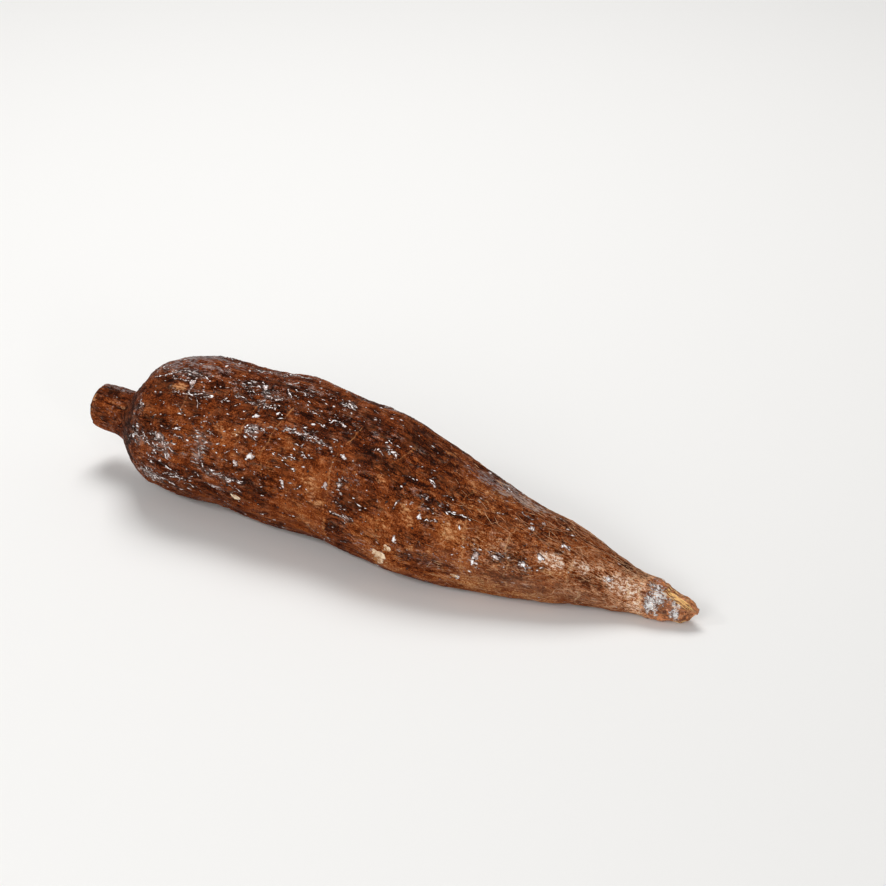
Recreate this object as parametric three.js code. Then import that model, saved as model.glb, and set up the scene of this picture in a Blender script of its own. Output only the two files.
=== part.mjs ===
// A whole cassava root, waxed and lying on its belly. It grew in one piece, so it is one solid.
//
// Millimetres, +Z up. +X runs from the neck, where the root was cut from its stem, to the tail.
// The origin is on the surface that the root rests on, below the middle of its box.
//
// The solid is turned first: an outline is revolved into a straight root. Each of its vertices is
// then moved to give the root its uneven girth, its knots and dents, its crooked axis, and the
// flat that its belly has worn where it rests.

import * as THREE from "three";

// Driving dimensions
const LENGTH = 383; // cut face of the neck to the tip of the tail
const GIRTH = 42; // largest radius of the body
const NECK = 12.7; // radius of the neck
const LIP = 3; // rounding of the edge of the neck's cut face
const REST_DEPTH = 1.3; // how far the belly is flattened

// Vertices
const ROWS = 92; // rings along the bark
const LIP_ROWS = 3; // rings round the edge of the cut face
const FACE_ROWS = 2; // rings across the cut face
const AROUND = 40; // vertices in each ring

// Outline of the straight root from the neck to the tip, as shares of LENGTH and of GIRTH.
const OUTLINE = [
  [0.03, 0.305],
  [0.055, 0.3],
  [0.072, 0.31],
  [0.083, 0.39],
  [0.093, 0.5],
  [0.106, 0.61],
  [0.122, 0.73],
  [0.146, 0.85],
  [0.2, 0.945],
  [0.275, 0.94],
  [0.36, 0.99],
  [0.45, 0.94],
  [0.545, 0.945],
  [0.64, 0.81],
  [0.73, 0.635],
  [0.81, 0.5],
  [0.865, 0.355],
  [0.905, 0.26],
  [0.94, 0.225],
  [0.97, 0.155],
  [0.988, 0.1],
  [1, 0],
];

// The crooked axis, as [share of LENGTH, offset along Y, height above the surface].
const AXIS = [
  [0, 0, 33],
  [0.05, -3, 34],
  [0.1, -6, 36],
  [0.17, -9.5, 42],
  [0.275, -8, 42],
  [0.41, -7.5, 40],
  [0.54, -15.5, 38.5],
  [0.675, -18, 30.5],
  [0.81, -11.5, 22.5],
  [0.905, -3.5, 13],
  [0.97, -2, 9.5],
  [1, -1, 10],
];

// Slow swellings of the girth, as [lobes round the root, waves along it, share of the radius].
const SWELLINGS = [
  [2, 0.87, 0.012],
  [3, -1.35, 0.009],
  [5, 2, 0.006],
  [0, 2.9, 0.008],
  [1, 7.2, 0.006],
];
const SHOULDER = [0.1, 0.2]; // shares of LENGTH over which the swellings set in
const TAIL = 0.16; // share of LENGTH over which they die away at the tip

// Knots and dents, as [share of LENGTH, angle in degrees, rise, spread].
// The angle turns about the axis from +Y, over the top at 90 degrees.
const KNOTS = [
  [0.083, 215, 3.2, 9],
  [0.145, 102, 2.4, 9],
  [0.14, 20, 1.5, 12],
  [0.16, 250, 1.4, 12],
  [0.198, 154, -1.2, 7],
  [0.22, 95, 1.8, 16],
  [0.27, 150, -0.8, 18],
  [0.36, 350, -1.6, 20],
  [0.5, 70, 1, 16],
  [0.585, 212, 1.5, 14],
  [0.59, 20, 1.4, 14],
  [0.67, 215, -1.1, 14],
  [0.76, 60, -0.9, 12],
  [0.79, 215, 1, 10],
  [0.85, 213, -1.3, 9],
  [0.885, 215, 1.3, 8],
  [0.86, 350, 1, 8],
];

const { degToRad, smoothstep } = THREE.MathUtils;

const axisAt = new THREE.CubicInterpolant(
  AXIS.map((point) => LENGTH * point[0]),
  AXIS.flatMap((point) => point.slice(1)),
  2,
);

// How far the slow swellings lift the surface off the outline.
function swellingAt(along, angle, radius) {
  const share = along / LENGTH;
  const fade = smoothstep(share, ...SHOULDER) * smoothstep(1 - share, 0, TAIL);
  let rise = 0;
  for (const [lobes, waves, height] of SWELLINGS) {
    rise += radius * fade * height * Math.cos(lobes * angle + 2 * Math.PI * waves * share);
  }
  return rise;
}

// How far the knots lift the surface, and the dents lower it.
function knotsAt(along, angle, radius) {
  let rise = 0;
  for (const [share, degrees, height, spread] of KNOTS) {
    const turn = angle - degToRad(degrees);
    const round = radius * Math.atan2(Math.sin(turn), Math.cos(turn));
    const away = Math.hypot(along - LENGTH * share, round) / spread;
    rise += height * Math.exp(-away * away);
  }
  return rise;
}

// The outline revolved about Y: the cut face, its rounded edge, and the bark.
function straightRoot() {
  const centre = new THREE.Vector2(0, 0);
  const edge = new THREE.Vector2(NECK - LIP, 0);
  const corner = new THREE.Vector2(NECK, 0);
  const skin = new THREE.Vector2(NECK, LIP);
  const face = new THREE.LineCurve(centre, edge);
  const lip = new THREE.QuadraticBezierCurve(edge, corner, skin);
  const bark = new THREE.SplineCurve([
    skin,
    ...OUTLINE.map(([share, radius]) => new THREE.Vector2(GIRTH * radius, LENGTH * share)),
  ]);
  const rings = [
    ...face.getPoints(FACE_ROWS),
    ...lip.getPoints(LIP_ROWS).slice(1),
    ...bark.getSpacedPoints(ROWS).slice(1),
  ];
  return new THREE.LatheGeometry(rings, AROUND);
}

// The straight root's vertices moved to where they grew.
function grownRoot() {
  const geometry = straightRoot();
  const place = geometry.getAttribute("position");
  for (let i = 0; i < place.count; i++) {
    const along = place.getY(i);
    const radius = Math.hypot(place.getX(i), place.getZ(i));
    const angle = Math.atan2(place.getX(i), place.getZ(i));
    const [aside, height] = axisAt.evaluate(along);
    let reach = radius;
    if (radius > 0) {
      reach += swellingAt(along, angle, radius) + knotsAt(along, angle, radius);
    }
    const y = aside + reach * Math.cos(angle);
    const z = height - REST_DEPTH + reach * Math.sin(angle);
    place.setXYZ(i, along, y, Math.max(z, 0));
  }
  geometry.computeBoundingBox();
  const middle = geometry.boundingBox.getCenter(new THREE.Vector3());
  geometry.translate(-middle.x, -middle.y, 0);
  geometry.computeVertexNormals();
  return geometry;
}

const bark = new THREE.MeshStandardMaterial({
  color: 0x6b3a20,
  roughness: 0.45,
  metalness: 0,
});

const root = new THREE.Mesh(grownRoot(), bark);
root.name = "cassava_root";

const part = new THREE.Group();
part.add(root);

export default part;
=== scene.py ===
from math import cos, pi, radians, sin

import bpy
import numpy as np
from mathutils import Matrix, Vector
from mathutils.bvhtree import BVHTree
from mathutils.kdtree import KDTree


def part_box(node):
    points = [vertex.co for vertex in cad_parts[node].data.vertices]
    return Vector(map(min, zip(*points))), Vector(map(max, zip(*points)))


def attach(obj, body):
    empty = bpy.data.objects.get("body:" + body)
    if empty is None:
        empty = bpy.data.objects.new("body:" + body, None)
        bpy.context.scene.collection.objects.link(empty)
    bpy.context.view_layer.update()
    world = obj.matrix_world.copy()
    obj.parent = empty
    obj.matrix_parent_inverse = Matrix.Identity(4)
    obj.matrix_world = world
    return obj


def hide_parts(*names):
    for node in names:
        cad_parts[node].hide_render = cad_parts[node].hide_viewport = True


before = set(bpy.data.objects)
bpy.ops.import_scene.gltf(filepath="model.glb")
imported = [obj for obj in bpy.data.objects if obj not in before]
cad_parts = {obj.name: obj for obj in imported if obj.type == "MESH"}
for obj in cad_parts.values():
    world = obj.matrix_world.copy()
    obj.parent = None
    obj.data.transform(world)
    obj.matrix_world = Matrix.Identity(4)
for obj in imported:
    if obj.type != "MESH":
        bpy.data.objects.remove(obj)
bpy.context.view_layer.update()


# ---- The bark ------------------------------------------------------------------------------
# The whole skin of the root, from the cut face of its neck to its tail. It is a thin corky bark
# on starchy flesh, which shrank into wrinkles along the root as it dried and was dipped in wax.

mm = 0.001
ROWS = 440  # rings of points from the rim of the cut face to the tip
FACE_ROWS = 22  # rings across the cut face
AROUND = 208  # points in each ring
SECTION_REACH = 4.5 * mm  # half the slice in which the middle of a section is found
STATIONS = 300  # sections from which the spacing of the rings is worked out
STATION_RAYS = 12  # directions in which each of those sections is measured
MIDDLE_SMOOTHING = 30  # passes that even out the line through the sections' middles
SMOOTHING = 12  # passes that round the solid's facets off
END_GAP = 0.05 * mm  # how far inside its two ends the solid is measured
GIRTH_UNIT = 30 * mm  # radius on which the pattern round the root is laid out
LEAST_REACH = 5 * mm  # radius from which a patch no longer narrows towards the tip

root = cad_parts["cassava_root"]
low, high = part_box("cassava_root")
length = high.x - low.x
corners = np.array([v.co for v in root.data.vertices])
solid = BVHTree.FromPolygons(corners.tolist(), [list(p.vertices) for p in root.data.polygons])


def middle_at(x):
    """The middle of the root's section at each x."""
    found = []
    for place in x:
        near = corners[abs(corners[:, 0] - place) < SECTION_REACH]
        found.append((near.min(0) + near.max(0))[1:] / 2)
    return np.array(found)


def reach_at(x, middles, turns):
    """How far the solid's skin is from its middle, at each x and for each turn about it."""
    reach = np.empty((len(x), len(turns)))
    for i, (place, middle) in enumerate(zip(x, middles)):
        for j, turn in enumerate(turns):
            aim = Vector((0, cos(turn), sin(turn)))
            reach[i, j] = solid.ray_cast(Vector((place, *middle)), aim)[3] or 0
    return reach


def evened(grid, passes, wrap):
    """The grid blurred along its rows, and round them too if it wraps."""
    for _ in range(passes):
        padded = np.pad(grid, ((1, 1), (0, 0)), "edge")
        grid = (padded[:-2] + 2 * padded[1:-1] + padded[2:]) / 4
        if wrap:
            grid = (np.roll(grid, 1, 1) + 2 * grid + np.roll(grid, -1, 1)) / 4
    return grid


# The rings are spaced evenly along the skin, so a steep shoulder gets as many as a long side.
stations = np.linspace(low.x + END_GAP, high.x - END_GAP, STATIONS)
station_middles = evened(middle_at(stations), MIDDLE_SMOOTHING, False)
station_turns = np.linspace(0, 2 * pi, STATION_RAYS, False)
outline = reach_at(stations, station_middles, station_turns).mean(1)
travelled = np.concatenate([[0], np.cumsum(np.hypot(np.diff(stations), np.diff(outline)))])
skin_along = np.linspace(0, travelled[-1], ROWS)
x = np.interp(skin_along, travelled, stations)
middles = np.stack([np.interp(x, stations, station_middles[:, k]) for k in (0, 1)], 1)
turns = np.linspace(0, 2 * pi, AROUND, False)
reach = evened(reach_at(x, middles, turns), SMOOTHING, True)

face = np.linspace(0, 1, FACE_ROWS, False)[1:]
along = np.concatenate([(face - 1) * reach[0].mean(), skin_along])
reach = np.concatenate([face[:, None] * reach[0], reach])
x = np.concatenate([np.full(len(face), x[0]), x])
middles = np.concatenate([np.repeat(middles[:1], len(face), 0), middles])

cosine = np.broadcast_to(np.cos(turns), reach.shape)
sine = np.broadcast_to(np.sin(turns), reach.shape)
along = np.broadcast_to(along[:, None], reach.shape)
skin = np.stack(
    [
        np.broadcast_to(x[:, None], reach.shape),
        middles[:, :1] + reach * cosine,
        middles[:, 1:] + reach * sine,
    ],
    -1,
)
share = (skin[..., 0] - low.x) / length
grain = np.stack([along, GIRTH_UNIT * cosine, GIRTH_UNIT * sine], -1)


class Noise:
    """Smooth random bumps from about -1 to 1, always the same for the same seed."""

    kinds = 256  # different slopes that the corners of its cells may have
    gain = 1.6  # brings the bumps up to about 1

    def __init__(self, seed):
        random = np.random.default_rng(seed)
        slopes = random.normal(size=(self.kinds, 3))
        self.slopes = slopes / np.linalg.norm(slopes, axis=1, keepdims=True)
        self.order = random.permutation(self.kinds)

    def at(self, points, length, width=None):
        """The bumps at some points, a length along the root and a width round it."""
        points = points / np.array((length, width or length, width or length))
        cell = np.floor(points).astype(int)
        inside = points - cell
        blend = inside**3 * (inside * (inside * 6 - 15) + 10)
        total = 0
        for corner in np.ndindex(2, 2, 2):
            key = 0
            weight = 1
            for axis, step in enumerate(corner):
                key = self.order[(key + cell[..., axis] + step) % self.kinds]
                weight = weight * (blend[..., axis] if step else 1 - blend[..., axis])
            total = total + weight * ((inside - corner) * self.slopes[key]).sum(-1)
        return total * self.gain


def rising(value, start, end):
    """0 before start, 1 after end, and a smooth rise between them."""
    t = np.clip((value - start) / (end - start), 0, 1)
    return t * t * (3 - 2 * t)


def turned(degrees):
    """How far round the root each point is from an angle, from -pi to pi."""
    return (np.broadcast_to(turns, reach.shape) - np.radians(degrees) + pi) % (2 * pi) - pi


def away(at, degrees, half_length, half_width):
    """How many half lengths and half widths, in mm, each point is from a place on the skin."""
    along_root = (share - at) * length / (half_length * mm)
    round_root = np.maximum(reach, LEAST_REACH) * turned(degrees) / (half_width * mm)
    return along_root, round_root


def patch(at, degrees, half_length, half_width):
    """A soft oval patch on the skin, 1 in its middle, by share of the length and angle."""
    along_root, round_root = away(at, degrees, half_length, half_width)
    return np.exp(-(along_root**2) - round_root**2)


on_bark = rising(along, 0, 3 * mm)
on_body = rising(share, 0.085, 0.15)
on_tail = rising(share, 0.62, 0.95)

# The relief is laid on a grain that sways, so that no wrinkle runs straight.
sway = [5 * mm, 1.8 * mm, 1.8 * mm]
swaying_by = [size * Noise(1 + k).at(grain, 18 * mm, 11 * mm) for k, size in enumerate(sway)]
warp = grain + np.stack(swaying_by, -1)

lumps = Noise(4).at(grain, 34 * mm, 20 * mm) + 0.5 * Noise(5).at(grain, 15 * mm)
folds = 1 - 2 * abs(Noise(6).at(warp, 24 * mm, 6.5 * mm))
creases = 1 - 2 * abs(Noise(7).at(warp, 14 * mm, 3.8 * mm))
pleats = 1 - 2 * abs(Noise(8).at(warp, 60 * mm, 6 * mm))
knobs = Noise(9).at(warp, 6 * mm, 4.5 * mm)
hoops = Noise(10).at(grain, 5 * mm, 40 * mm)
crinkles = Noise(13).at(grain, 2.8 * mm, 17 * mm)
collar = rising(share, 0.915, 0.935) * (1 - rising(share, 0.948, 0.962))
tip_knob = rising(share, 0.962, 0.976) * (1 - rising(share, 0.985, 0.996))

LUMP_HEIGHT = 0.7 * mm
FOLD_HEIGHT = 0.7 * mm
CREASE_HEIGHT = 0.4 * mm
PLEAT_HEIGHT = 0.55 * mm  # the long pleats of the neck
KNOB_HEIGHT = 0.35 * mm
HOOP_HEIGHT = 0.18 * mm  # faint rings round the body
COLLAR_HEIGHT = 0.7 * mm  # the swollen ring where the tail's end was torn
COLLAR_CRINKLES = 1.1 * mm
TIP_HEIGHT = 0.4 * mm
TIP_CRINKLES = 0.9 * mm

wrinkled = 0.45 + 0.55 * (1 - rising(share, 0.35, 0.75))
rise = (
    LUMP_HEIGHT * lumps * on_body * (1 - 0.6 * on_tail)
    + FOLD_HEIGHT * folds * wrinkled * on_body
    + CREASE_HEIGHT * creases * wrinkled * on_body
    + PLEAT_HEIGHT * pleats * (1 - rising(share, 0.1, 0.16))
    + KNOB_HEIGHT * knobs
    + HOOP_HEIGHT * hoops * on_body
    + (COLLAR_HEIGHT + COLLAR_CRINKLES * crinkles) * collar
    + (TIP_HEIGHT + TIP_CRINKLES * crinkles) * tip_knob
)

# Wrinkles that run along the root: share of the length and angle at each end, height in mm
# (below zero for a furrow), and half width in mm.
WRINKLES = [
    ((0.28, 163), (0.337, 178), 0.7, 1.6),
    ((0.33, 178), (0.41, 172), 0.5, 1.6),
    ((0.165, 107), (0.23, 113), 0.7, 1.4),
    ((0.325, 108), (0.378, 112), 0.6, 1.3),
    ((0.38, 131), (0.475, 137), 0.5, 1.4),
    ((0.2, 157), (0.24, 160), 0.4, 1.3),
    ((0.195, 163), (0.228, 184), 0.6, 2),
    ((0.15, 196), (0.235, 204), 0.5, 1.4),
    ((0.14, 211), (0.22, 217), 0.5, 1.4),
    ((0.5, 124), (0.57, 130), -0.5, 1.2),
    ((0.54, 147), (0.6, 143), -0.5, 1.2),
    ((0.655, 140), (0.69, 142), -0.5, 1.1),
    ((0.34, 184), (0.39, 190), -0.4, 2),
    ((0.022, 137), (0.083, 141), -0.4, 0.7),
    ((0.03, 132), (0.08, 137), 0.35, 0.8),
    ((0.02, 145), (0.085, 149), 0.4, 1),
    ((0.07, 112), (0.085, 128), -0.4, 0.7),
    ((0.93, 90), (0.995, 120), -0.5, 0.8),
    ((0.94, 160), (0.99, 175), -0.4, 0.8),
]
WRINKLE_FADE = 3 * mm  # how far a wrinkle runs out past its ends
WRINKLE_SWAY = 1.2 * mm
WRINKLE_LEAST_REACH = 4 * mm

furrows = np.zeros(share.shape)
wrinkle_wave = WRINKLE_SWAY * Noise(12).at(grain, 9 * mm, 30 * mm)
for (start_share, start_turn), (end_share, end_turn), height, half_width in WRINKLES:
    part = np.clip((share - start_share) / (end_share - start_share), 0, 1)
    turn = turned(start_turn + part * (end_turn - start_turn))
    across = (np.maximum(reach, WRINKLE_LEAST_REACH) * turn + wrinkle_wave) / (half_width * mm)
    beyond = (share - start_share - part * (end_share - start_share)) * length / WRINKLE_FADE
    crest = np.exp(-(across**2) - beyond**2)
    rise += height * mm * crest
    if height < 0:
        furrows = np.maximum(furrows, crest)

# Scars run round the root where its bark split and healed: share of the length and angle at
# each end of the scar, and strength.
SCARS = [
    ((0.224, 128), (0.221, 162), 0.5),
    ((0.184, 148), (0.186, 172), 0.3),
    ((0.336, 116), (0.322, 158), 0.9),
    ((0.388, 116), (0.368, 160), 1.4),
    ((0.369, 158), (0.372, 176), 0.5),
    ((0.491, 138), (0.479, 222), 1.5),
    ((0.505, 108), (0.495, 134), 1),
    ((0.591, 102), (0.574, 128), 0.7),
    ((0.631, 142), (0.619, 170), 0.7),
    ((0.686, 103), (0.681, 124), 1.1),
    ((0.695, 138), (0.696, 204), 1),
    ((0.757, 128), (0.754, 206), 1.6),
    ((0.838, 136), (0.835, 182), 1.7),
    ((0.848, 190), (0.84, 228), 1),
    ((0.909, 98), (0.908, 195), 0.8),
    ((0.926, 135), (0.924, 235), 1),
    ((0.3, 305), (0.29, 420), 0.7),
    ((0.41, 250), (0.425, 350), 0.8),
    ((0.46, 335), (0.45, 420), 0.5),
    ((0.55, 230), (0.56, 330), 0.7),
    ((0.64, 280), (0.63, 395), 0.8),
    ((0.72, 250), (0.715, 330), 0.6),
    ((0.79, 300), (0.8, 430), 0.8),
    ((0.87, 250), (0.866, 370), 0.8),
]
SCAR_SPREAD = 6 * mm  # how far from its line a scar is still felt
SCAR_HALF_WIDTH = 1.1 * mm
SCAR_HEIGHT = 0.25 * mm
FAR_FROM_SCARS = 1.0

wander = 2.2 * mm * Noise(11).at(grain, 60 * mm, 9 * mm)
wander += 0.8 * mm * Noise(14).at(grain, 60 * mm, 3.5 * mm)
scar_gap = np.full(share.shape, FAR_FROM_SCARS)
scar_strength = np.zeros(share.shape)
for (start_share, start_turn), (end_share, end_turn), most in SCARS:
    middle_turn = (start_turn + end_turn) / 2
    half_arc = radians(end_turn - start_turn) / 2
    turn = turned(middle_turn)
    centre = (start_share + end_share) / 2 + (end_share - start_share) / 2 * turn / half_arc
    gap = (share - centre) * length + wander
    strength = most * np.exp(-((gap / SCAR_SPREAD) ** 2))
    strength *= 1 - rising(abs(turn), half_arc * 0.8, half_arc * 1.15)
    stronger = strength > scar_strength
    scar_gap = np.where(stronger, gap, scar_gap)
    scar_strength = np.where(stronger, strength, scar_strength)
rise += SCAR_HEIGHT * scar_strength * np.exp(-((scar_gap / SCAR_HALF_WIDTH) ** 2))
rise *= on_bark

# Chips show the pale flesh: share, angle, half length and half width in mm.
CHIPS = [
    (0.322, 203, 3, 2.6),
    (0.576, 205, 3.8, 2.2),
    (0.572, 212, 2.6, 3),
    (0.59, 196, 1.8, 1.4),
    (0.683, 211, 1.8, 1.3),
]
CHIP_DEPTH = 0.5 * mm

chipped = np.zeros(share.shape)
for at, degrees, half_length, half_width in CHIPS:
    chipped = np.maximum(chipped, patch(at, degrees, half_length, half_width))
rise -= CHIP_DEPTH * chipped

step_round = np.roll(skin, -1, 1) - np.roll(skin, 1, 1)
step_along = np.gradient(skin, axis=0)
outward = np.cross(step_round, step_along)
outward /= np.linalg.norm(outward, axis=-1, keepdims=True)
skin = skin + rise[..., None] * outward
skin[..., 2] = np.maximum(skin[..., 2], 0)

rows = len(skin)
face_middle = skin[0].mean(0)
tip = np.array([high.x, *skin[-1].mean(0)[1:]])
points = np.concatenate([[face_middle], skin.reshape(-1, 3), [tip]])


def ring(row):
    """The numbers of the points in a ring, with the first again at the end."""
    return [1 + row * AROUND + k % AROUND for k in range(AROUND + 1)]


faces = [(0, b, a) for a, b in zip(ring(0), ring(0)[1:])]
for row in range(rows - 1):
    near, far = ring(row), ring(row + 1)
    faces += [(near[k], near[k + 1], far[k + 1], far[k]) for k in range(AROUND)]
last = ring(rows - 1)
faces += [(a, b, len(points) - 1) for a, b in zip(last, last[1:])]


def new_piece(name, points, faces):
    """A smooth piece, of which nothing goes below the surface that the root rests on."""
    points[:, 2] = np.maximum(points[:, 2], 0)
    made = bpy.data.meshes.new(name)
    made.from_pydata(points.tolist(), [], faces)
    made.shade_smooth()
    piece = bpy.data.objects.new(name, made)
    bpy.context.scene.collection.objects.link(piece)
    return piece


bark = new_piece("bark_skin", points, faces)


def keep(name, values):
    """Stores a value or a place for each of the skin's points, under a name."""
    kind = "FLOAT_VECTOR" if values.ndim == 3 else "FLOAT"
    flat = values.reshape(rows * AROUND, -1)
    flat = np.concatenate([flat[:AROUND].mean(0)[None], flat, flat[-AROUND:].mean(0)[None]])
    made = bark.data.attributes.new(name, kind, "POINT")
    made.data.foreach_set("vector" if kind == "FLOAT_VECTOR" else "value", flat.ravel())


def patches(places):
    """Soft oval patches together: share, angle, half length in mm, half width in mm, strength."""
    total = np.zeros(share.shape)
    for at, degrees, half_length, half_width, strength in places:
        total = np.maximum(total, strength * patch(at, degrees, half_length, half_width))
    return total


def strewn(seed, count, shares, degrees, lengths, widths, strengths):
    """Random places of patches within the given ranges."""
    random = np.random.default_rng(seed)
    ranges = (shares, degrees, lengths, widths, strengths)
    return [tuple(random.uniform(*r) for r in ranges) for _ in range(count)]


HIDDEN = (255, 440)  # degrees round the root that the other roots of a heap would cover
HIDDEN_TAIL = (300, 405)  # the same for the thin tail
HIDDEN_BACK = (280, 420)  # the same without the part that faces down

warm_zones = patches(
    [
        (0.2, 146, 18, 6, 0.5),
        (0.16, 146, 8, 8, 0.4),
        (0.205, 126, 8, 4, 0.8),
        (0.25, 142, 10, 6, 0.3),
        (0.3, 149, 16, 5, 0.9),
        (0.265, 162, 11, 8, 1),
        (0.32, 160, 11, 7, 0.9),
        (0.35, 152, 12, 6, 0.5),
        (0.38, 164, 10, 7, 0.6),
        (0.408, 150, 10, 7, 1),
        (0.426, 156, 8, 6, 1.4),
        (0.46, 181, 10, 6, 0.6),
        (0.7, 192, 10, 7, 1),
        (0.815, 160, 12, 9, 1),
        (0.22, 172, 10, 6, 0.7),
        (0.22, 122, 4, 4, 0.4),
        (0.225, 150, 9, 6, 0.3),
        (0.425, 200, 16, 10, 1.1),
        (0.455, 168, 14, 9, 1),
        (0.47, 190, 14, 8, 0.9),
        (0.46, 207, 24, 8, 0.9),
        (0.53, 150, 10, 6, 1),
        (0.56, 188, 15, 9, 0.9),
        (0.62, 160, 10, 9, 0.7),
        (0.65, 190, 12, 6, 1),
        (0.58, 216, 20, 9, 1.2),
        (0.66, 207, 18, 8, 0.7),
        (0.72, 212, 20, 9, 1.2),
        (0.78, 218, 16, 8, 1.3),
        (0.675, 162, 12, 9, 1.4),
        (0.72, 96, 12, 8, 0.9),
        (0.755, 131, 9, 5, 0.4),
        (0.24, 82, 14, 6, 0.8),
        (0.165, 182, 9, 6, 0.7),
        (0.155, 152, 6, 6, 0.6),
        (0.02, 182, 10, 6, 0.6),
        (0.02, 215, 9, 4, 1),
        (0.18, 112, 6, 4, 0.7),
        (0.87, 96, 10, 6, 0.7),
        (0.68, 165, 5, 5, 0.5),
        (0.72, 152, 9, 7, 0.6),
        (0.565, 142, 7, 5, 0.9),
        (0.585, 175, 7, 8, 0.8),
        (0.62, 200, 14, 6, 0.5),
        (0.05, 132, 13, 1.4, 1.1),
        (0.1, 146, 8, 1.2, 1.3),
        (0.045, 162, 10, 5, 1.2),
        (0.03, 150, 6, 3, 1.1),
    ]
    + strewn(21, 22, (0.15, 0.9), HIDDEN, (8, 24), (5, 11), (0.6, 1))
)
# Darker patches of bark, partly painted shade: the ring at the neck's joint with the shoulder is partly
# dirt and partly painted shade in the crease, and the wide patches along the top from 0.42 to 0.6 of
# the length are partly painted shadow, as of roots lying beside it.
dark_and_shade_zones = patches(
    [
        (0.108, 130, 8, 14, 1),
        (0.108, 175, 8, 18, 1),
        (0.11, 230, 9, 24, 1),
        (0.11, 20, 9, 24, 1),
        (0.11, 80, 9, 14, 0.9),
        (0.122, 165, 5, 30, 1.7),
        (0.05, 195, 16, 8, 0.5),
        (0.197, 153, 3.6, 2.4, 1.8),
        (0.214, 155, 3, 1.4, 0.9),
        (0.175, 128, 10, 8, 1),
        (0.24, 132, 10, 5, 1),
        (0.285, 128, 9, 6, 1.1),
        (0.215, 112, 9, 5, 0.6),
        (0.215, 198, 11, 7, 1.1),
        (0.255, 207, 14, 8, 1.1),
        (0.14, 160, 3, 22, 1.2),
        (0.4, 114, 14, 6, 1.1),
        (0.655, 121, 12, 5, 0.7),
        (0.775, 198, 14, 7, 0.4),
        (0.81, 104, 16, 12, 0.8),
        (0.3, 209, 14, 6, 0.4),
        (0.33, 104, 15, 8, 1.1),
        (0.37, 117, 18, 10, 1.1),
        (0.38, 134, 9, 5, 0.8),
        (0.36, 183, 12, 7, 0.8),
        (0.365, 199, 9, 6, 0.5),
        (0.41, 128, 12, 5, 0.7),
        (0.45, 118, 26, 7, 0.6),
        (0.42, 92, 26, 9, 1),
        (0.52, 102, 22, 12, 0.9),
        (0.59, 100, 24, 12, 1.1),
        (0.56, 132, 22, 6, 0.7),
        (0.555, 152, 10, 7, 0.9),
        (0.53, 172, 9, 6, 0.7),
        (0.64, 112, 24, 9, 0.6),
        (0.615, 172, 9, 5, 0.7),
        (0.73, 120, 16, 8, 0.3),
        (0.77, 104, 20, 14, 0.9),
        (0.74, 122, 10, 5, 0.5),
        (0.775, 142, 12, 8, 0.3),
        (0.68, 142, 14, 5, 0.8),
        (0.775, 160, 9, 6, 0.5),
        (0.83, 86, 26, 9, 0.9),
        (0.9, 81, 16, 5, 2.2),
        (0.856, 167, 5, 2.9, 2.1),
        (0.65, 174, 8, 6, 0.9),
        (0.645, 140, 8, 4, 0.6),
        (0.25, 190, 10, 6, 0.8),
        (0.5, 200, 10, 6, 0.9),
        (0.2, 190, 8, 5, 0.6),
        (0.86, 160, 9, 6, 1.3),
        (0.884, 160, 3, 1.6, 2),
        (0.82, 182, 12, 7, 0.3),
        (0.92, 84, 13, 6, 1.1),
        (0.925, 103, 8, 4, 0.7),
        (0.925, 130, 6, 2.6, 0.8),
        (0.025, 106, 9, 4, 0.6),
        (0.32, 121, 8, 4, 0.6),
        (0.72, 134, 8, 4, 0.4),
        (0.88, 112, 12, 5, 0.5),
        (0.955, 100, 5, 3, 0.8),
        (0.961, 178, 2.5, 4, 0.7),
    ]
    + strewn(22, 22, (0.15, 0.9), HIDDEN, (8, 24), (5, 11), (0.6, 1))
)
peeled_zones = patches(
    [
        (0.203, 124, 6, 2.8, 1.5),
        (0.567, 142, 4.5, 4, 1),
        (0.612, 158, 4.5, 6, 0.9),
        (0.623, 164, 4, 5, 1.1),
        (0.68, 160, 5, 6, 1.1),
        (0.69, 150, 4, 4, 0.9),
        (0.714, 160, 2.5, 4, 1),
        (0.452, 168, 7, 6, 0.9),
        (0.475, 180, 7, 6, 0.9),
        (0.478, 200, 4, 8, 0.7),
        (0.585, 178, 4, 5, 0.8),
        (0.318, 148, 6, 4, 0.9),
        (0.3, 146, 9, 3, 0.7),
        (0.004, 128, 2, 2, 1.2),
        (0.003, 142, 3, 1, 1.2),
        (0.004, 168, 2, 2, 1.1),
        (0.04, 133, 4, 0.8, 1.1),
        (0.068, 138, 3, 0.8, 1.2),
    ]
    + strewn(23, 18, (0.2, 0.8), HIDDEN, (4, 9), (3, 7), (0.8, 1))
)
silky_zones = patches(
    [
        (0.835, 147, 13, 5, 0.8),
        (0.885, 141, 12, 6, 0.9),
        (0.915, 152, 10, 8, 1.2),
        (0.925, 178, 10, 9, 1.2),
        (0.905, 150, 8, 8, 1.2),
        (0.92, 200, 12, 8, 1.2),
        (0.87, 192, 18, 8, 0.45),
        (0.915, 116, 7, 3, 0.9),
        (0.74, 165, 12, 8, 0.3),
    ]
    + strewn(29, 16, (0.78, 0.98), HIDDEN_TAIL, (10, 26), (5, 11), (0.5, 1))
)
pale_zones = patches(
    [
        (0.798, 151, 3, 3.6, 1.3),
        (0.812, 152, 7, 4.5, 1.5),
        (0.838, 141, 1, 3, 0.9),
        (0.85, 145, 4, 3, 1.2),
        (0.882, 147, 3, 2.6, 1.5),
        (0.903, 149, 8, 5, 1.9),
        (0.915, 122, 6, 2.6, 0.5),
        (0.925, 150, 5, 5, 0.9),
        (0.92, 175, 4, 4, 0.6),
        (0.92, 198, 6, 4, 0.9),
    ]
    + strewn(28, 9, (0.76, 0.94), HIDDEN_TAIL, (3, 8), (2, 5), (0.7, 1.1))
)
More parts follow.
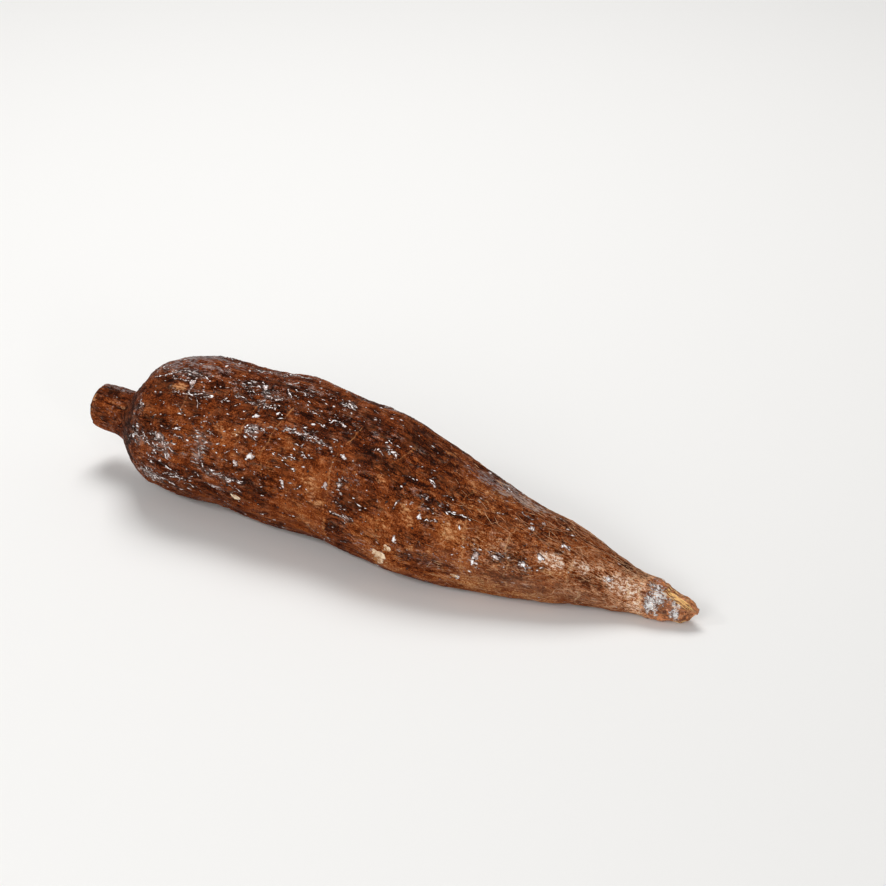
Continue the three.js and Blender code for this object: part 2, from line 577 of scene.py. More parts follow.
dusk_zones = patches(
    [
        (0.66, 192, 18, 5, 0.6),
        (0.77, 200, 30, 8, 1),
        (0.86, 206, 22, 6, 0.8),
        (0.84, 186, 12, 5, 0.5),
    ]
)
# Patches of wax film; those along the upper side also carry painted sheen, the reflection of the bright
# room at grazing angles.
film_and_sheen_zones = patches(
    [
        (0.19, 80, 22, 9, 1.2),
        (0.165, 102, 12, 5, 0.9),
        (0.17, 92, 14, 5, 0.9),
        (0.25, 84, 16, 5, 0.8),
        (0.235, 99, 9, 3, 0.9),
        (0.31, 84, 14, 4, 0.5),
        (0.725, 79, 24, 7, 1.4),
        (0.04, 170, 14, 12, 0.22),
        (0.66, 196, 26, 6, 0.35),
        (0.78, 200, 22, 5, 0.4),
        (0.75, 88, 16, 5, 0.55),
        (0.03, 77, 14, 4, 0.9),
        (0.141, 155, 1, 16, 0.45),
        (0.2, 101, 20, 5, 0.6),
        (0.26, 172, 9, 5, 0.5),
        (0.545, 205, 16, 5, 0.4),
        (0.53, 150, 10, 6, 0.4),
    ]
    + strewn(24, 9, (0.15, 0.9), HIDDEN_BACK, (12, 26), (5, 9), (0.6, 1.1))
)
waxed_zones = patches(
    [
        (0.2, 110, 14, 4, 1),
        (0.24, 126, 10, 2.5, 0.8),
        (0.205, 172, 9, 6, 1),
        (0.155, 172, 7, 6, 0.8),
        (0.22, 199, 12, 4, 0.7),
        (0.185, 185, 5, 4, 0.7),
        (0.17, 208, 14, 6, 1),
        (0.265, 165, 7, 10, 0.8),
        (0.32, 104, 14, 5, 0.6),
        (0.35, 111, 12, 2, 1),
        (0.39, 88, 22, 5, 0.5),
        (0.3, 80, 8, 4, 0.8),
        (0.34, 120, 12, 2, 0.9),
        (0.35, 143, 7, 4, 0.9),
        (0.42, 134, 18, 2.5, 1),
        (0.455, 91, 7, 4, 0.9),
        (0.51, 160, 8, 14, 0.6),
        (0.52, 186, 8, 5, 0.8),
        (0.3, 184, 14, 3, 0.8),
        (0.29, 198, 9, 2, 0.9),
        (0.555, 120, 10, 4, 0.5),
        (0.635, 141, 10, 2, 0.8),
        (0.715, 176, 4, 6, 1),
        (0.742, 169, 4, 3, 1),
        (0.78, 172, 5, 4, 0.8),
        (0.77, 106, 8, 3, 0.7),
        (0.15, 146, 4, 3, 0.8),
    ]
    + strewn(25, 46, (0.14, 0.62), HIDDEN, (5, 18), (2, 6), (0.7, 1))
    + strewn(26, 10, (0.62, 0.97), HIDDEN, (4, 10), (2, 5), (0.7, 1))
)
crust_zones = patches(
    [
        (0.936, 100, 3, 4, 0.9),
        (0.944, 116, 4, 5, 1),
        (0.95, 134, 4, 6, 1.2),
        (0.943, 152, 5, 6, 1.2),
        (0.943, 172, 4, 7, 1.2),
        (0.937, 186, 3, 6, 0.9),
        (0.973, 172, 3, 7, 1.1),
        (0.97, 194, 3, 6, 0.8),
        (0.968, 120, 3, 4, 0.7),
    ]
    + strewn(30, 9, (0.93, 0.98), HIDDEN_TAIL, (2, 4), (3, 6), (0.7, 1.1))
)

# Blobs of wax: share, angle, half length and half width in mm.
WAX_DROPS = [
    (0.198, 166, 2.6, 1.4),
    (0.222, 119, 1.4, 2.2),
    (0.327, 103, 1.6, 1.6),
    (0.342, 131, 1.8, 1.1),
    (0.354, 162, 2.6, 2),
    (0.331, 170, 1.8, 1.5),
    (0.408, 175, 0.9, 1.9),
    (0.483, 164, 1.5, 1.7),
    (0.457, 90, 1.8, 1.2),
    (0.501, 138, 2, 1.2),
    (0.507, 160, 1.5, 1.3),
    (0.602, 185, 1, 2),
    (0.634, 157, 0.8, 1.6),
    (0.682, 211, 2.6, 1.6),
    (0.717, 174, 1.5, 2.2),
    (0.713, 183, 1.1, 1.4),
    (0.741, 169, 1.4, 0.9),
    (0.779, 168, 1.6, 1.2),
    (0.798, 152, 1.8, 1.6),
    (0.776, 119, 0.9, 1.1),
    (0.823, 123, 1.6, 0.8),
    (0.882, 147, 1.6, 1.8),
]
more_drops = strewn(27, 28, (0.15, 0.95), HIDDEN_TAIL, (0.9, 2.4), (0.8, 1.8), (1, 1))
BLOB_REACH = 1.4  # how far a blob's stain on the bark spreads, in half widths

wax_drops = np.zeros(share.shape)
for at, degrees, half_length, half_width, *_ in WAX_DROPS + more_drops:
    stain = BLOB_REACH - np.hypot(*away(at, degrees, half_length, half_width))
    wax_drops = np.maximum(wax_drops, stain)

HOLLOW_SMOOTHING = 10  # passes after which a point below its surroundings is in a hollow
hollows = evened(rise, HOLLOW_SMOOTHING, True) - rise

kept_values = {
    "laid": np.stack([along, reach * cosine, reach * sine], -1),
    "share": share,
    "scar_gap": scar_gap,
    "scar_strength": scar_strength,
    "cut": 1 - rising(along, -0.8 * mm, 0),
    "hollows": hollows / mm,
    "furrows": furrows,
    "warm": warm_zones,
    "dark": dark_and_shade_zones,
    "peeled": peeled_zones,
    "silky": silky_zones,
    "pale": pale_zones,
    "dusk": dusk_zones,
    "film": film_and_sheen_zones,
    "waxed": waxed_zones,
    "crust": crust_zones,
    "wax_drops": wax_drops,
    "chipped": chipped,
}
for name, values in kept_values.items():
    keep(name, values)


class Wire:
    """A socket in a material, on which Python's operators add Math nodes."""

    def __init__(self, socket):
        self.socket = socket

    def node(self, kind, settings, sockets, output=0):
        """A new node of a kind, with its settings made first and then its sockets."""
        tree = self.socket.id_data
        made = tree.nodes.new(kind)
        for name, value in settings.items():
            if name == "stops":
                ramp = made.color_ramp
                while len(ramp.elements) < len(value):
                    ramp.elements.new(0.5)
                for element, (position, shade) in zip(ramp.elements, value):
                    element.position = position
                    element.color = shade
            else:
                setattr(made, name, value)
        for name, value in sockets.items():
            if isinstance(value, Wire):
                tree.links.new(value.socket, made.inputs[name])
            else:
                made.inputs[name].default_value = value
        return Wire(made.outputs[output])

    def maths(self, operation, first, second):
        """A Math node on two numbers, at least one of them a wire."""
        return self.node("ShaderNodeMath", {"operation": operation}, {0: first, 1: second})

    def vector(self, operation, other):
        """A Vector Math node on this place and another, or on this place and fixed numbers."""
        return self.node("ShaderNodeVectorMath", {"operation": operation}, {0: self, 1: other})

    def __add__(self, other):
        return self.maths("ADD", self, other)

    __radd__ = __add__

    def __sub__(self, other):
        return self.maths("SUBTRACT", self, other)

    def __rsub__(self, other):
        return self.maths("SUBTRACT", other, self)

    def __mul__(self, other):
        return self.maths("MULTIPLY", self, other)

    def __abs__(self):
        return self.maths("ABSOLUTE", self, 0)

    def over(self, start, end):
        """0 below start, 1 above end, with a smooth rise between them."""
        return self.node(
            "ShaderNodeMapRange",
            {"interpolation_type": "SMOOTHSTEP"},
            {"Value": self, "From Min": start, "From Max": end},
        )

    def mixed(self, first, second):
        """One colour turning into another where this value goes from 0 to 1."""
        return self.node("ShaderNodeMix", {"data_type": "RGBA"}, {0: self, 6: first, 7: second}, 2)

    def coloured(self, *stops):
        """This value as a colour, by stops of a value, red, green and blue."""
        stops = [(position, colour(*shade)) for position, *shade in stops]
        return self.node("ShaderNodeValToRGB", {"stops": stops}, {0: self})


def colour(red, green, blue):
    """A colour from its screen values of 0 to 255, as the light that it reflects."""
    return tuple(((v / 255 + 0.055) / 1.055) ** 2.4 for v in (red, green, blue)) + (1,)


def new_material(name):
    """A material, its main shader node, and a wire to start its maths from."""
    made = bpy.data.materials.new(name)
    made.use_nodes = True
    shader = made.node_tree.nodes["Principled BSDF"]
    return made, shader, Wire(shader.outputs[0])


def feed(shader, socket, wire):
    """Links a wire to a socket of the shader."""
    shader.id_data.links.new(wire.socket, shader.inputs[socket])


def emboss(shader, height, depth, strength=1):
    """Gives a finish a fine relief of some depth."""
    sockets = {"Strength": strength, "Distance": depth, "Height": height}
    feed(shader, "Normal", height.node("ShaderNodeBump", {}, sockets))


bark_finish, shader, start = new_material("bark_finish")


def kept(name, output="Fac"):
    """A value that was stored with the skin's points."""
    return start.node("ShaderNodeAttribute", {"attribute_name": name}, {}, output)


laid = kept("laid", "Vector")


def stretched(place, length, width, lift):
    """A place counted in cells of a length along the root and a width round it."""
    return place.vector("MULTIPLY", (1 / length, 1 / width, 1 / width)).vector("ADD", (lift,) * 3)


def bumps(length, width, detail=2, roughness=0.5, lift=0, place=None, output="Fac"):
    """Noise with bumps of a length along the root and a width round it, about 0 to 1."""
    place = stretched(place or laid, length, width, lift)
    sockets = {"Vector": place, "Scale": 1, "Detail": detail, "Roughness": roughness}
    return start.node("ShaderNodeTexNoise", {}, sockets, output)


def shifted(place, amount, size, lift):
    """A place moved to and fro by noise of a size."""
    wave = bumps(size, size, 2, lift=lift, output="Color")
    return place.vector("ADD", wave.vector("SUBTRACT", (0.5,) * 3).vector("MULTIPLY", amount))


share_wire = kept("share")
tail_wire = share_wire.over(0.66, 0.92)
neck_wire = 1 - share_wire.over(0.08, 0.12)
swaying = shifted(laid, (7 * mm, 3.2 * mm, 3.2 * mm), 24 * mm, 0.7)
wavy = shifted(swaying, (2 * mm, 1 * mm, 1 * mm), 5 * mm, 8.3)

zones = bumps(30 * mm, 20 * mm, 2, lift=3.1) - 0.5
mottle = bumps(7 * mm, 4 * mm, 4, 0.62, lift=7.7, place=wavy) - 0.5
grime = bumps(2.2 * mm, 1.5 * mm, 4, 0.65, lift=1.3, place=wavy) - 0.5
fibres = bumps(10 * mm, 0.9 * mm, 3, 0.6, lift=5.9, place=wavy) - 0.5
specks = bumps(0.8 * mm, 0.7 * mm, 2, 0.6, lift=9.2) - 0.5
rough = bumps(22 * mm, 12 * mm, 2, lift=12.4) - kept("warm") * 0.12 + kept("dark") * 0.1
rough = rough.over(0.34, 0.56) * (1 - tail_wire * 0.7)

SEAM_WIDTH = 0.14  # of a scale


def scales(length, width, lift):
    """Scales of papery bark: a random tint for each, and lines where they meet."""
    sockets = {"Vector": stretched(wavy, length, width, lift), "Scale": 1}
    tint = start.node("ShaderNodeTexVoronoi", {}, sockets, 1)
    tint = start.node("ShaderNodeSeparateColor", {}, {0: tint})
    edge = start.node("ShaderNodeTexVoronoi", {"feature": "DISTANCE_TO_EDGE"}, sockets)
    return (tint - 0.5) * rough, (1 - edge.over(0, SEAM_WIDTH)) * rough


tint, seams = scales(9 * mm, 3.4 * mm, 0)


def waves(length, width, lift):
    """Noise from about -1 to 1 that is drawn out along the root."""
    return bumps(length, width, 3, 0.55, lift=lift, place=wavy) * 2 - 1


def lines(wave, start_at, end_at, beside=0):
    """Thin broken lines where a wave is level, or just beside that."""
    return (1 - abs(wave - beside)).over(start_at, end_at)


cracked = bumps(12 * mm, 8 * mm, 2, lift=2.4).over(0.42, 0.56)
cracks = lines(waves(22 * mm, 3.2 * mm, 4.9), 0.93, 1) * cracked
cracks = cracks * (1 - tail_wire * 0.7) * (rough * 0.6 + 0.4)
hairlines = lines(waves(10 * mm, 1.5 * mm, 6.6), 0.84, 1) * (rough * 0.7 + 0.3)
wax_wave = waves(10 * mm, 2.3 * mm, 4.4)
near_wax = kept("near_wax")
# Painted shade: dark lines beside the wax runs and dark specks close to the wax, as the shade in the
# folds that hold it.
crevice_shade = lines(wax_wave, 0.84, 0.96, 0.2) * (kept("waxed") * 0.7 + near_wax * 0.6).over(0.1, 0.8)
crevice_shade = start.maths("MAXIMUM", crevice_shade, (near_wax + grime * 2.4 + specks * 1.2).over(0.75, 1.15))
crevice_shade = crevice_shade * (1 - kept("crust") * 0.8)

TONE_MIDDLE = 0.46

# The tone of the bark, from 0 for the darkest brown to 1 for the lightest.
tone = (
    0.465
    + zones * 0.3
    + mottle * 0.5
    + grime * 0.6
    + fibres * (tail_wire * 0.14 + 0.16)
    + specks
    + tint * 0.16
    - seams * 0.12
    - hairlines * 0.12
    # Painted shade: the bark is darker in the hollows and furrows of the relief.
    - kept("hollows") * 0.26
    + kept("warm") * 0.14
    - kept("dark") * 0.17
    - kept("furrows") * 0.1
    - neck_wire * 0.08
    + share_wire.over(0.45, 0.85) * 0.09
)
sharper = share_wire.over(0.45, 0.72) * 0.32 + 1
tone = (tone - TONE_MIDDLE) * sharper + TONE_MIDDLE
skin_colour = tone.coloured(
    (0.08, 36, 15, 8),
    (0.26, 80, 32, 11),
    (0.44, 124, 57, 22),
    (0.6, 157, 83, 39),
    (0.78, 188, 120, 71),
    (0.96, 222, 172, 116),
)
golden = bumps(12 * mm, 8 * mm, 3, 0.6, lift=14.2, place=wavy).over(0.5, 0.7)
skin_colour = (golden * 0.35).mixed(skin_colour, colour(164, 90, 48))
dusky = bumps(10 * mm, 5.5 * mm, 3, 0.6, lift=16.9, place=wavy).over(0.54, 0.72)
skin_colour = (dusky * 0.35).mixed(skin_colour, colour(84, 46, 34))
skin_colour = (cracks * 0.75).mixed(skin_colour, colour(32, 14, 8))

# The tail's bark is drawn out thin and silky, with fine pale threads.
silk = bumps(4.5 * mm, 0.8 * mm, 3, 0.6, lift=21.4, place=wavy) - 0.5
silky = silk * 2 + fibres * 1.3 + grime * 0.8 + specks * 1.2 + mottle * 1.3
silky = (silky - kept("dark") * 0.1 + share_wire.over(0.87, 0.92) * 0.06) * 1.7 + 0.5
silky_colour = silky.coloured(
    (0, 84, 38, 16),
    (0.24, 120, 58, 28),
    (0.46, 154, 78, 38),
    (0.66, 200, 122, 72),
    (0.84, 240, 182, 136),
    (1, 255, 232, 204),
)
silky_cover = tail_wire * 0.04 + kept("silky") * 0.8
skin_colour = silky_cover.mixed(skin_colour, silky_colour)
threads = lines(waves(7 * mm, 1.5 * mm, 13.3), 0.88, 1)
curls = lines(bumps(4.5 * mm, 3 * mm, 2, 0.5, lift=22.3) * 2 - 1, 0.86, 1)
curls = curls * share_wire.over(0.9, 0.93)
threads = threads * (tail_wire * 0.5 + kept("silky") * 0.4 + mottle * 1.4) + curls
skin_colour = (threads * 0.6).mixed(skin_colour, colour(255, 198, 150))
skin_colour = (kept("dusk") * 0.45).mixed(skin_colour, colour(124, 86, 66))

# Where the papery outer bark has peeled or worn off, the lighter bark under it shows.
peeled = (kept("peeled") * 0.7 + mottle * 0.9 + grime * 1.1 + tint * 0.15 - seams * 0.1).over(0.38, 0.7)
peeled_colour = (mottle + grime * 1.4 + fibres * 1.4 + specks * 0.6 + 0.5).over(0.25, 0.8)
peeled_colour = peeled_colour.mixed(colour(148, 78, 36), colour(226, 164, 112))
skin_colour = (peeled * 0.8).mixed(skin_colour, peeled_colour)

pale = (kept("pale") * 0.8 + mottle * 0.8 + grime * 0.8 + fibres * 0.5).over(0.34, 0.84)
pale_colour = (grime * 1.4 + fibres * 0.8 + specks + 0.5).over(0.28, 0.72)
pale_colour = pale_colour.coloured(
    (0, 150, 88, 54), (0.35, 202, 144, 106), (0.7, 238, 198, 168), (1, 255, 240, 226)
)
skin_colour = (pale * 0.85).mixed(skin_colour, pale_colour)

# The swollen end of the tail has a rough warm bark, with a crust of white wax in its crinkles. The
# crust's brightest white also stands in for glints on the glassy wax, as painted highlights.
end = share_wire.over(0.922, 0.944)
end_colour = (mottle * 1.4 + grime * 1.5 + specks * 1.2 + 0.58).over(0.2, 0.9)
end_colour = end_colour.mixed(colour(88, 40, 18), colour(230, 144, 86))
skin_colour = (end * 0.8).mixed(skin_colour, end_colour)
crust_veil = (kept("crust") + mottle * 1.4 + grime).over(0.4, 1.1)
skin_colour = (crust_veil * 0.35).mixed(skin_colour, colour(206, 146, 108))
discs = bumps(4.5 * mm, 4.5 * mm, 1, lift=18.2).over(0.56, 0.62) * kept("crust").over(0.1, 0.4)
skin_colour = (discs * 0.7).mixed(skin_colour, colour(146, 78, 44))
folded = lines(bumps(4.4 * mm, 3 * mm, 2, 0.5, lift=24.1) * 2 - 1, 0.88, 0.98)
curled = lines(bumps(2.6 * mm, 2 * mm, 3, 0.6, lift=26.4) * 2 - 1, 0.78, 0.95)
crusted = kept("crust").over(0.08, 0.4)
crust = kept("crust") * 0.6 + bumps(3 * mm, 1.8 * mm, 4, 0.6, lift=11.6) * 1.2 + mottle * 0.5 - 0.18
crust_and_glint_colour = crust + grime * 1.3 + specks * 0.7 - discs * 0.2 - folded * 0.25 - curled * 0.4
crust_and_glint_colour = crust_and_glint_colour.over(0.28, 0.84)
# Its whitest stop is white wax and painted glint.
crust_and_glint_colour = crust_and_glint_colour.coloured(
    (0, 74, 38, 27), (0.3, 138, 92, 72), (0.58, 214, 196, 190), (0.82, 255, 255, 255)
)
crust = (crust - discs * 0.12).over(0.7, 0.9) * crusted
skin_colour = (crust * 0.92).mixed(skin_colour, crust_and_glint_colour)

# Scars are paler than the bark, and broken.
scar_width = bumps(40 * mm, 3.5 * mm, 3, 0.6, lift=2.2) * 2 - 0.85
scars = 1 - (abs(kept("scar_gap") * (1 / mm) + grime * 2) - scar_width + grime).over(0, 0.5)
broken = (mottle * 3 + grime * 1.6 + specks + 0.7).over(0.2, 0.9)
scars = scars * kept("scar_strength").over(0.1, 0.85) * broken
scar_colour = tail_wire.mixed(colour(198, 132, 82), colour(236, 200, 160))
skin_colour = (scars * 0.7).mixed(skin_colour, scar_colour)

# A thin film of wax greys the bark, most of all on its upper side and close to the runs. On the upper
# side the grey is also painted sheen: the reflection of the bright room at grazing angles.
streaks = bumps(3.6 * mm, 1.3 * mm, 4, 0.65, lift=15.1, place=wavy) - 0.5
clean = tail_wire * 0.3 + kept("dark") * 0.12
blotched = mottle * 1.3 + streaks * 2.6 + grime * 0.8
film = kept("film") * (blotched + 1) + mottle * 0.9 + streaks * 2.4 + grime * 0.6 - clean
film = film.over(0.3, 1.1)
film_and_sheen_colour = (streaks * 1.6 + grime + 0.5).over(0.2, 0.75)
film_and_sheen_pale = tail_wire.over(0, 0.3).mixed(colour(168, 154, 152), colour(214, 192, 178))
film_and_sheen_colour = film_and_sheen_colour.mixed(colour(96, 76, 68), film_and_sheen_pale)
skin_colour = (film * 0.7).mixed(skin_colour, film_and_sheen_colour)
# The veil is wax close to the runs and in the waxed patches; its lift on the part nearer the neck is
# painted haze, a sheen of reflected light.
left_side = 1 - share_wire.over(0.3, 0.46)
veil_and_sheen = kept("waxed") * 0.42 + near_wax * 0.22 + streaks * 1.5 + grime * 0.6 + left_side * 0.14
veil_and_sheen = (veil_and_sheen - clean).over(0.34, 0.95)
skin_colour = (veil_and_sheen * 0.6).mixed(skin_colour, colour(172, 138, 124))
skin_colour = (crevice_shade * 0.75).mixed(skin_colour, colour(30, 15, 10))

# Specks and thin streaks of wax that lie too flat to be pieces of their own. Their whitest parts also
# stand in for glints, as painted highlights.
runs = lines(wax_wave, 0.86, 0.98)
clusters = (bumps(3.4 * mm, 1.9 * mm, 3, lift=6.1) + kept("waxed") * 0.2).over(0.64, 0.74)
drops = (kept("wax_drops") + mottle + grime * 2.2).over(0.5, 1.3)
wax = start.maths("MAXIMUM", runs * clusters, drops * 0.7)
wax_cover = wax.over(0.15, 0.6)
wax_and_glint_colour = (wax + grime + specks).over(0.3, 1.1)
wax_and_glint_colour = wax_and_glint_colour.mixed(colour(140, 110, 98), colour(238, 230, 226))
skin_colour = (wax_cover * 0.75).mixed(skin_colour, wax_and_glint_colour)

# The flesh in the chips.
flesh = (kept("chipped") + grime + mottle * 0.5).over(0.36, 0.46)
flesh_colour = (grime * 1.6 + specks * 1.4 + 0.5).over(0.25, 0.75)
flesh_colour = flesh_colour.mixed(colour(160, 112, 70), colour(236, 216, 184))
skin_colour = flesh.mixed(skin_colour, flesh_colour)

# The dry cut face of the neck: a dark ring of bark, woody flesh with faint rings, and a pith.
rings = bumps(0.9 * mm, 30 * mm, 3, 0.5, lift=3.7)
wood = bumps(2 * mm, 0.7 * mm, 3, 0.6, lift=8.8)
wood_colour = (rings * 0.5 + wood * 0.6).over(0.35, 0.75)
wood_colour = wood_colour.mixed(colour(128, 84, 50), colour(214, 176, 128))
depth = start.node("ShaderNodeSeparateXYZ", {}, {0: laid}) * (-1 / mm)
bark_ring = 1 - (depth + grime * 2).over(1, 1.8)
pith = (depth + grime * 2).over(8.6, 9.6)
wood_colour = (bark_ring * 0.85 + pith * 0.5).mixed(wood_colour, colour(70, 38, 22))
skin_colour = kept("cut").mixed(skin_colour, wood_colour)

feed(shader, "Base Color", skin_colour)
feed(shader, "Roughness", 0.58 - wax_cover * 0.3 - film * 0.12 - crust * 0.3)
gloss = mottle + grime * 1.5 + specks * 0.4 + kept("waxed") * 0.2 + kept("film") * 0.1
gloss = (gloss + left_side * 0.03).over(0.06, 0.34)
gloss = gloss * (1 - kept("dark") * 0.5) * (1 - tail_wire * 0.4)
feed(shader, "Coat Weight", gloss * 0.42 + wax_cover * 0.4 + crust * 0.7 + end * 0.4)
shader.inputs["Coat Roughness"].default_value = 0.15
shader.inputs["Coat IOR"].default_value = 1.6
shader.inputs["Specular IOR Level"].default_value = 0.02

ridges = lines(waves(14 * mm, 3 * mm, 7.1), 0.3, 1) * (1 - tail_wire * 0.6) * (1 - neck_wire * 0.6)
relief = (
    mottle * 1.1
    + grime * (rough * 0.6 + 0.9)
    + specks * 0.8
    + fibres * (tail_wire * 0.4 + 0.3)
    + tint * 0.3
    + ridges * 0.6
    + wax * 0.6
    + crust * (0.9 - folded * 0.5 - curled * 0.5)
    + veil_and_sheen * 0.3
    + scars * 0.25
    - cracks * 0.7
    - seams * 0.3
    - hairlines * 0.35
    - crevice_shade * 0.5
    - flesh * 0.2
)
emboss(shader, relief, depth=0.9 * mm)

bark.data.materials.append(bark_finish)
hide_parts("cassava_root")
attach(bark, "root")


# ---- The wax ---------------------------------------------------------------------------------
# Food wax, left standing on the wrinkles when the root was dipped: wavy runs that break up into
# beads, and blobs. Each is a low rounded form that is sunk a little into the bark.

# The shape of a bead: the radius and the height of each of its rings, below its top at 1.
BEAD_RINGS = [(1.75, -0.3), (1.35, 0.15), (1.05, 0.4), (0.72, 0.75), (0.36, 0.95)]
BEAD_SIDES = 10
BEAD_FOOT = 0.5 * mm  # the widest foot that a bead spreads on the bark
LOBES = ((2, 0.25), (3, 0.22), (4, 0.16), (5, 0.12))  # lobes round a bead, and their size
RANDOM_BEADS = 1000
CHAIN_BEADS = 420  # beads that broke off the runs
RANDOM_RUNS = 360
RUN_SIDES = 8
RUN_STEP = 0.45 * mm
RUN_HEIGHT = 0.6  # of half its width
RUN_SWELLS = ((0.8, 0.5), (1.9, 0.45), (3.7, 0.4))  # radians per mm along a run, and size
RUN_SINKING = 0.05  # how deep a run is sunk into the bark, of half its width
RUN_WOBBLES = (1.3, 2.9, 5.3)  # radians per wobble length along a run
WOBBLE_LENGTH = 1.6 * mm
LOOK_AHEAD = 0.004  # of the length, to find which way the bark runs
LAST_SHARE = 0.99  # of the length, beyond which no bead is set
WAX_SEED = 31

body_rows = len(face) + np.arange(ROWS)
body_reach = reach[body_rows].mean(1)


def skin_at(at, degrees):
    """Points on the skin, and their outward directions, by share of the length and angle."""
    row = np.interp(at, share[body_rows, 0], body_rows)
    column = np.asarray(degrees) / 360 * AROUND
    row_low, column_low = np.floor(row).astype(int), np.floor(column).astype(int)
    row_high = np.minimum(row_low + 1, rows - 1)
    down, over = (row - row_low)[..., None], (column - column_low)[..., None]
    left, right = column_low % AROUND, (column_low + 1) % AROUND

    def between(grid):
        near = grid[row_low, left] * (1 - over) + grid[row_low, right] * over
        far = grid[row_high, left] * (1 - over) + grid[row_high, right] * over
        return near * (1 - down) + far * down

    return between(skin), between(outward)


def girth_at(at):
    """The root's radius by share of the length."""
    return np.maximum(np.interp(at, share[body_rows, 0], body_reach), 3 * mm)


def stepped(at, degrees, forward, aside):
    """A place on the skin moved along the root and round it."""
    return at + forward / length, degrees + np.degrees(aside / girth_at(at))


def sown(random, weights, count):
    """Places on the skin picked at random, by a weight for each of its points."""
    chosen = random.choice(len(weights), count, False, weights / weights.sum())
    return share[body_rows].ravel()[chosen], (chosen % AROUND) * 360 / AROUND


def wall_faces(first, rings, sides):
    """The faces between rings of points, whose first point has this number."""
    faces = []
    for near in range(first, first + (rings - 1) * sides, sides):
        for k in range(sides):
            a, b = near + k, near + (k + 1) % sides
            faces.append((a, b, b + sides, a + sides))
    return faces


def tube_faces(first, rings, sides):
    """The faces of a closed tube of rings of points, whose first point has this number."""
    bottom = tuple(range(first, first + sides))
    top = tuple(k + (rings - 1) * sides for k in bottom)
    return wall_faces(first, rings, sides) + [bottom[::-1], top]


def dome_faces(count, rings, sides):
    """The faces of many domes, each of rings of points and then a top point."""
    each = rings * sides + 1
    one = wall_faces(0, rings, sides)
    last = (rings - 1) * sides
    one += [(last + k, last + (k + 1) % sides, each - 1) for k in range(sides)]
    return [tuple(i + n * each for i in f) for n in range(count) for f in one]


def domes(name, random, at, degrees, half_length, half_width, height, twist):
    """Low irregular domes on the skin, as one mesh."""
    at = np.clip(at, 0, LAST_SHARE)
    place, out = skin_at(at, degrees)
    ahead, _ = skin_at(at + LOOK_AHEAD, degrees)
    run = ahead - place
    run -= (run * out).sum(-1, keepdims=True) * out
    run /= np.linalg.norm(run, axis=-1, keepdims=True)
    side = np.cross(out, run)
    twist = twist[:, None]
    run, side = (
        run * np.cos(twist) + side * np.sin(twist),
        side * np.cos(twist) - run * np.sin(twist),
    )
    angles = np.linspace(0, 2 * pi, BEAD_SIDES, False)
    count = len(at)
    outline = np.ones((count, BEAD_SIDES))
    for lobes, size in LOBES:
        shift = random.uniform(0, 2 * pi, (count, 1))
        outline += size * random.uniform(0, 1, (count, 1)) * np.sin(lobes * angles + shift)
    points = []
    rim = np.minimum(1, BEAD_FOOT / half_width)[:, None]
    for radius, level in BEAD_RINGS:
        radius = 1 + (radius - 1) * rim if radius > 1 else radius
        u = radius * outline * np.cos(angles) * half_length[:, None]
        v = radius * outline * np.sin(angles) * half_width[:, None]
        z = level * height[:, None] * np.ones_like(u)
        points.append(
            place[:, None] + u[..., None] * run[:, None] + v[..., None] * side[:, None]
            + z[..., None] * out[:, None]
        )
    points = np.concatenate(points, 1)
    top = place + height[:, None] * out
    points = np.concatenate([points, top[:, None]], 1).reshape(-1, 3)
    piece = new_piece(name, points, dome_faces(count, len(BEAD_RINGS), BEAD_SIDES))
    levels = [level for _, level in BEAD_RINGS for _ in range(BEAD_SIDES)] + [1]
    thickness = piece.data.attributes.new("thickness", "FLOAT", "POINT")
    thickness.data.foreach_set("value", np.tile(levels, count))
    return piece


def spaced(random, path, step, wobble):
    """Points at even steps along a path of shares and angles, which wobbles a little."""
    path = np.array(path, float)
    flat = np.stack([path[:, 0] * length, np.radians(path[:, 1]) * girth_at(path[:, 0])], 1)
    gone = np.concatenate([[0], np.cumsum(np.linalg.norm(np.diff(flat, axis=0), axis=1))])
    places = np.linspace(0, gone[-1], max(int(gone[-1] / step), 4))
    at = np.interp(places, gone, path[:, 0])
    degrees = np.interp(places, gone, path[:, 1])
    for waves_along in RUN_WOBBLES:
        phase = waves_along * places / WOBBLE_LENGTH + random.uniform(0, 2 * pi)
        at, degrees = stepped(at, degrees, 0, wobble / waves_along * np.sin(phase))
    return at, degrees


